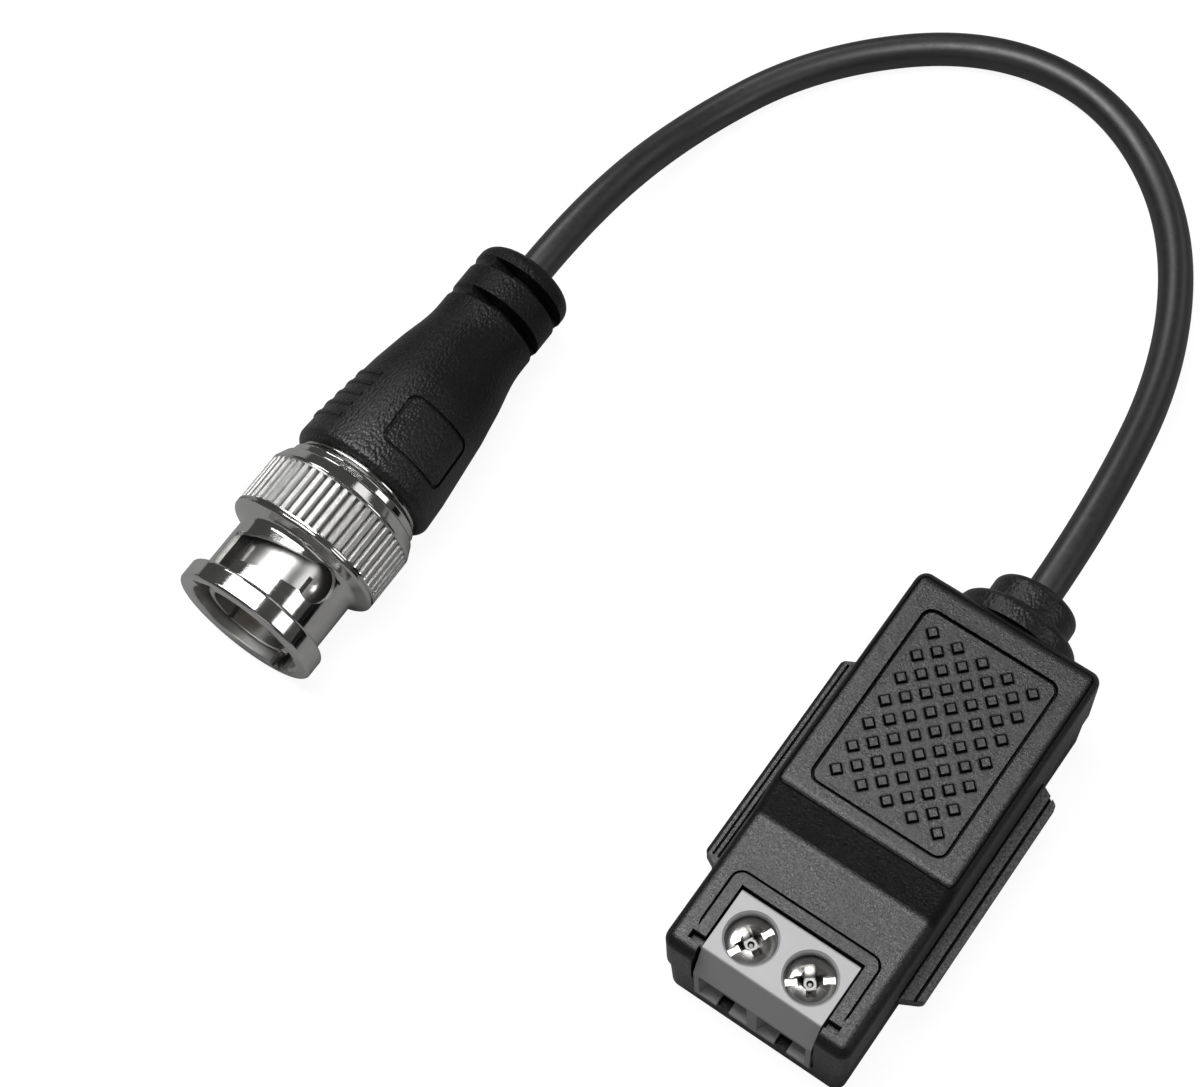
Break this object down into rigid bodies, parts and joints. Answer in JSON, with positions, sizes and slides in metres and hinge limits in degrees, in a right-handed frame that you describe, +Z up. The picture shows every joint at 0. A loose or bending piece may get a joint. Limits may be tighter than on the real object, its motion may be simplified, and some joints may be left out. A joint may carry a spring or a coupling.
{
  "type": "cctv video balun",
  "caption": "Passive video balun: flat black housing with a two-pole screw terminal, studded top, side hook rails, and a short coax lead to a bayonet plug.",
  "frame": {"origin": "middle of the housing's underside, gland included", "axes": "+Z up, +Y from the screw terminal to the cable gland, +X to the side with the grooved rail"},
  "size_m": [0.0658, 0.0867, 0.0134],
  "materials": {
    "housing_plastic": "fine grained black ABS",
    "terminal_plastic": "satin light grey nylon",
    "screw_steel": "nickel plated, satin",
    "clamp_steel": "zinc plated, satin",
    "contact_metal": "tinned",
    "board_laminate": "green solder mask",
    "ferrite": "fired, matt",
    "enamelled_wire": "enamelled copper wire",
    "component_black": "moulded epoxy",
    "component_tan": "glazed",
    "gland_plastic": "smooth moulded PVC",
    "cable_jacket": "smooth PVC jacket",
    "core_insulation": "extruded polyethylene",
    "screen_wire": "twisted tinned wires",
    "boot_plastic": "leather-grained PVC",
    "nickel_plate": "bright nickel",
    "insulator_plastic": "white moulded insulator",
    "gold_plate": "gold flashed",
    "seal_rubber": "soft seal",
    "spring_steel": "rolled strip"
  },
  "bodies": {
    "balun": {"top_cover": "housing_plastic", "base_shell": "housing_plastic", "terminal_block": "terminal_plastic", "terminal_contact_left": "contact_metal", "terminal_contact_right": "contact_metal", "circuit_board": "board_laminate", "ferrite_core": "ferrite", "winding_line": "enamelled_wire", "winding_video": "enamelled_wire", "surge_protector": "component_black", "capacitor": "component_tan", "cable_gland": "gland_plastic", "cable_tail": "cable_jacket", "core_lead": "core_insulation", "shield_lead": "screen_wire", "cable": "cable_jacket", "plug_cable_tail": "cable_jacket", "plug_boot": "boot_plastic", "plug_body": "nickel_plate", "plug_insulator": "insulator_plastic", "plug_pin": "gold_plate", "crimp_ferrule": "nickel_plate", "gasket": "seal_rubber", "spring_washer": "spring_steel"},
    "screw_left": {"terminal_screw_left": "screw_steel"},
    "screw_right": {"terminal_screw_right": "screw_steel"},
    "clamp_left": {"wire_clamp_left": "clamp_steel"},
    "clamp_right": {"wire_clamp_right": "clamp_steel"},
    "pull_ring": {"thrust_ring": "spring_steel"},
    "nut": {"coupling_nut": "nickel_plate"}
  },
  "joints": [
    {"name": "screw_turn_left", "type": "hinge", "parent": "balun", "child": "screw_left", "pos_m": [-0.00254, -0.01603, 0.00925], "axis": [0, 0, -1], "range_deg": [0, 1153]},
    {"name": "clamp_rise_left", "type": "slide", "parent": "balun", "child": "clamp_left", "axis": [0, 0, 1], "range_m": [0, 0.0016]},
    {"name": "screw_turn_right", "type": "hinge", "parent": "balun", "child": "screw_right", "pos_m": [0.00254, -0.01603, 0.00925], "axis": [0, 0, -1], "range_deg": [0, 1153]},
    {"name": "clamp_rise_right", "type": "slide", "parent": "balun", "child": "clamp_right", "axis": [0, 0, 1], "range_m": [0, 0.0016]},
    {"name": "nut_pull", "type": "slide", "parent": "balun", "child": "pull_ring", "axis": [0, -1, 0], "range_m": [0, 0.0005], "stiffness_N_per_m": 200},
    {"name": "nut_turn", "type": "hinge", "parent": "pull_ring", "child": "nut", "pos_m": [-0.0495, -0.0077, 0.00672], "axis": [0, 1, 0], "continuous": true}
  ],
  "couplings": [
    {"joint": "screw_turn_left", "follows": "clamp_rise_left", "rad_per_m": 12566},
    {"joint": "screw_turn_right", "follows": "clamp_rise_right", "rad_per_m": 12566}
  ]
}
